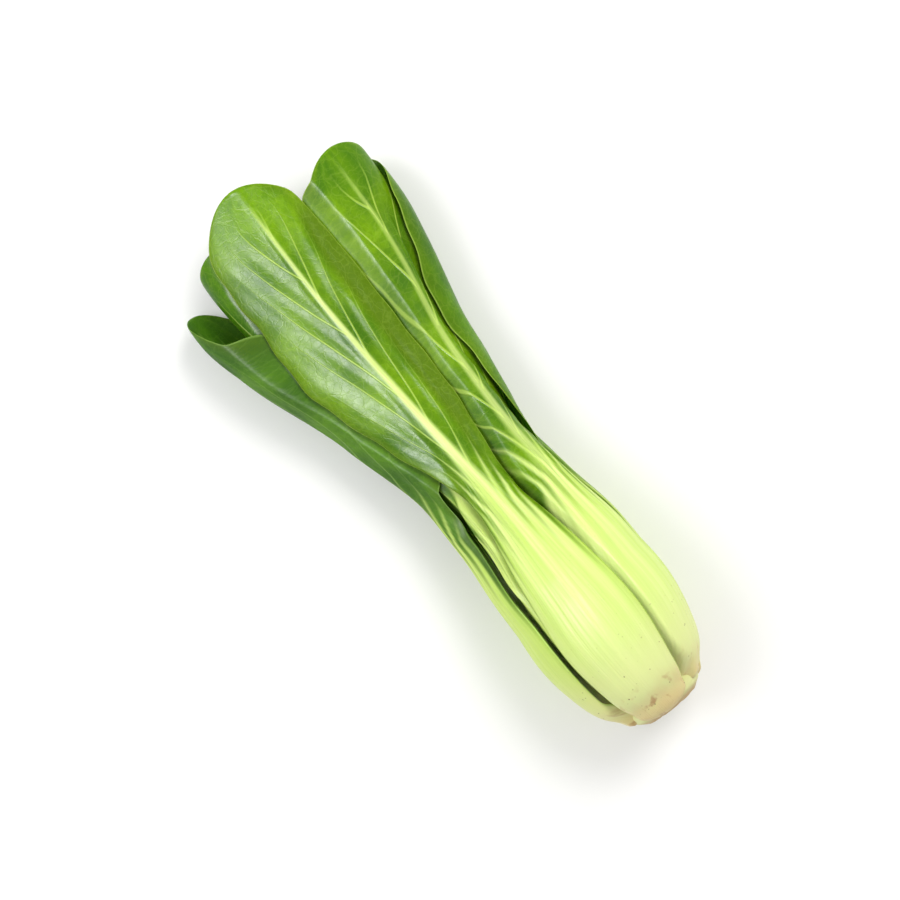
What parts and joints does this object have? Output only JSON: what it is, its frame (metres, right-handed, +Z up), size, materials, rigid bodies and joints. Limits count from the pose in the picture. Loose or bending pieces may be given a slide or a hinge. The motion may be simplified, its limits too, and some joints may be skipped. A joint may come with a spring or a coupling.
{
  "type": "bok choy",
  "caption": "Head of green-stalked bok choy lying on its side: a swollen bulb of pale fleshy stalks, nested in a spiral, that runs on into overlapping long round-tipped green blades.",
  "frame": {"origin": "under the middle of the head's box, on the surface that it lies on", "axes": "+Z up, +X along the head from the cut crown to the leaf tips"},
  "size_m": [0.225, 0.0834, 0.0534],
  "materials": {
    "crown": "pale cut stem, cream with a tan rim, dull and slightly moist",
    "outer_stalk": "fleshy pale yellow-green stalk with fine lengthwise ribs, near white at the foot, satin",
    "inner_stalk": "fleshy pale green stalk, satin",
    "heart_stalk": "young stalk, whitish green, satin",
    "outer_blade": "glossy mid-green leaf with a pale midrib and a net of pale veins",
    "inner_blade": "deeper green leaf with pale veins, glossy",
    "heart_blade": "young leaf, light yellow-green, glossy"
  },
  "bodies": {
    "root": {"crown": "crown", "outer_stalk_1": "outer_stalk", "outer_stalk_2": "outer_stalk", "outer_stalk_3": "outer_stalk", "outer_stalk_4": "outer_stalk", "outer_stalk_5": "outer_stalk", "outer_blade_1": "outer_blade", "outer_blade_2": "outer_blade", "outer_blade_3": "outer_blade", "outer_blade_4": "outer_blade", "outer_blade_5": "outer_blade", "inner_stalk_1": "inner_stalk", "inner_stalk_2": "inner_stalk", "inner_stalk_3": "inner_stalk", "inner_stalk_4": "inner_stalk", "inner_blade_1": "inner_blade", "inner_blade_2": "inner_blade", "inner_blade_3": "inner_blade", "inner_blade_4": "inner_blade", "heart_stalk_1": "heart_stalk", "heart_stalk_2": "heart_stalk", "heart_stalk_3": "heart_stalk", "heart_blade_1": "heart_blade", "heart_blade_2": "heart_blade", "heart_blade_3": "heart_blade"}
  },
  "joints": []
}
